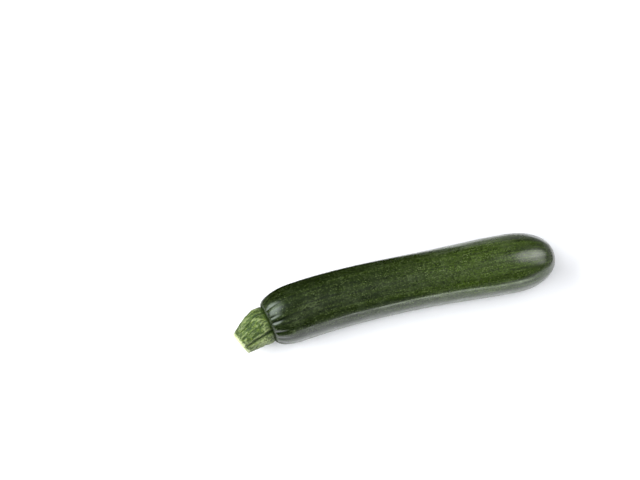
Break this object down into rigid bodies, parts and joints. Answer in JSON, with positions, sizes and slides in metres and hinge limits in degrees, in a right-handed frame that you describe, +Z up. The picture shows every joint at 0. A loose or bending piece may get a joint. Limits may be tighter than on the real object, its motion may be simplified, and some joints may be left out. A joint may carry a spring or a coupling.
{
  "type": "courgette",
  "caption": "Whole dark green courgette lying on its side, gently curved, with a ribbed cut stem, a furrowed shoulder and a blunt blossom end.",
  "frame": {"origin": "middle of the base of the bounding box, on the surface that the courgette lies on", "axes": "+X from the stem end to the blossom end, +Z up from the surface; the stem turns towards -Y"},
  "size_m": [0.2194, 0.0432, 0.0394],
  "materials": {
    "skin": "satin",
    "stem": "matte"
  },
  "bodies": {
    "root": {"fruit": "skin", "stem": "stem"}
  },
  "joints": []
}
